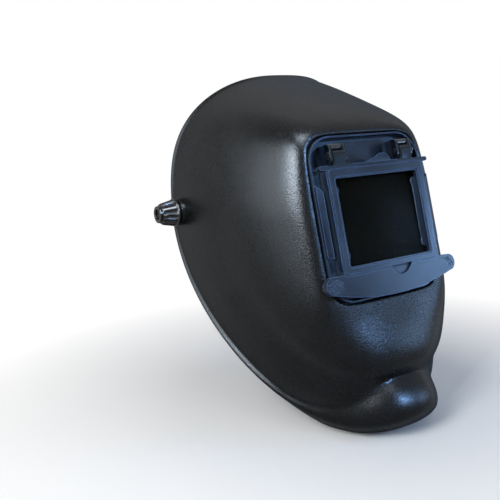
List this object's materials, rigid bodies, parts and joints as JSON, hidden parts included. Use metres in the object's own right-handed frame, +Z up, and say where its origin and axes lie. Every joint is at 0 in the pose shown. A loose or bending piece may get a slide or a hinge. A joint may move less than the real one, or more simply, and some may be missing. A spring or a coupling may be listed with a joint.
{
  "type": "welding helmet",
  "caption": "Black welding helmet: moulded face shell with a flared chin rim, a flip-up dark lens front on hinge pins, and a ratchet headgear with tension knobs.",
  "frame": {"origin": "middle of the axis on which the shell tilts about the headgear", "axes": "+Z up, the face looks along -Y, +X is to the viewer's right when facing the helmet"},
  "size_m": [0.2906, 0.3811, 0.3469],
  "materials": {
    "shell_plastic": "fine moulded grain",
    "frame_plastic": "satin",
    "steel": "zinc plated",
    "clear_lens": "clear",
    "filter_glass": "dark filter",
    "gasket_rubber": "matt",
    "spring_black": "black",
    "band_plastic": "satin",
    "foam": "cloth over foam",
    "knob_plastic": "gloss",
    "fibre": "fibre",
    "nylon": "natural nylon"
  },
  "bodies": {
    "headgear": {"headband": "band_plastic", "crown_strap_left": "band_plastic", "crown_strap_right": "band_plastic", "crown_button": "band_plastic", "band_rivets": "band_plastic", "sweatband": "foam", "nape_pad": "foam", "pivot_arm_left": "band_plastic", "pivot_arm_right": "band_plastic", "pivot_bolt_left": "knob_plastic", "pivot_bolt_right": "knob_plastic", "tilt_stop_left": "band_plastic", "tilt_stop_right": "band_plastic", "friction_washers": "fibre", "spring_washers": "steel", "ratchet_housing": "band_plastic", "ratchet_cover": "band_plastic", "ratchet_ring": "nylon"},
    "shell": {"shell": "shell_plastic", "lens_frame": "frame_plastic", "frame_retainer": "frame_plastic", "frame_screws": "steel", "inner_lens": "clear_lens", "inner_gasket": "gasket_rubber", "lens_wire": "steel", "hinge_pins": "spring_black", "hinge_springs": "spring_black"},
    "front": {"front_holder": "frame_plastic", "lens_bezel": "frame_plastic", "filter_lens": "filter_glass", "cover_lens": "clear_lens", "lens_springs": "frame_plastic"},
    "knob_left": {"tension_knob_left": "knob_plastic"},
    "knob_right": {"tension_knob_right": "knob_plastic"},
    "ratchet": {"ratchet_knob": "knob_plastic", "ratchet_pinion": "nylon", "knob_screw": "steel"}
  },
  "joints": [
    {"name": "shell_tilt", "type": "hinge", "parent": "headgear", "child": "shell", "pos_m": [0, 0, 0], "axis": [-1, 0, 0], "range_deg": [0, 80]},
    {"name": "front_lift", "type": "hinge", "parent": "shell", "child": "front", "pos_m": [0, -0.16971, 0.05682], "axis": [-1, 0, 0], "range_deg": [0, 110]},
    {"name": "knob_left_turn", "type": "hinge", "parent": "headgear", "child": "knob_left", "pos_m": [-0.13, 0, 0], "axis": [-1, 0, 0], "continuous": true},
    {"name": "knob_right_turn", "type": "hinge", "parent": "headgear", "child": "knob_right", "pos_m": [0.13, 0, 0], "axis": [1, 0, 0], "continuous": true},
    {"name": "ratchet_turn", "type": "hinge", "parent": "headgear", "child": "ratchet", "pos_m": [0, 0.12003, 0.00118], "axis": [0, 0.9848, -0.1736], "continuous": true}
  ]
}
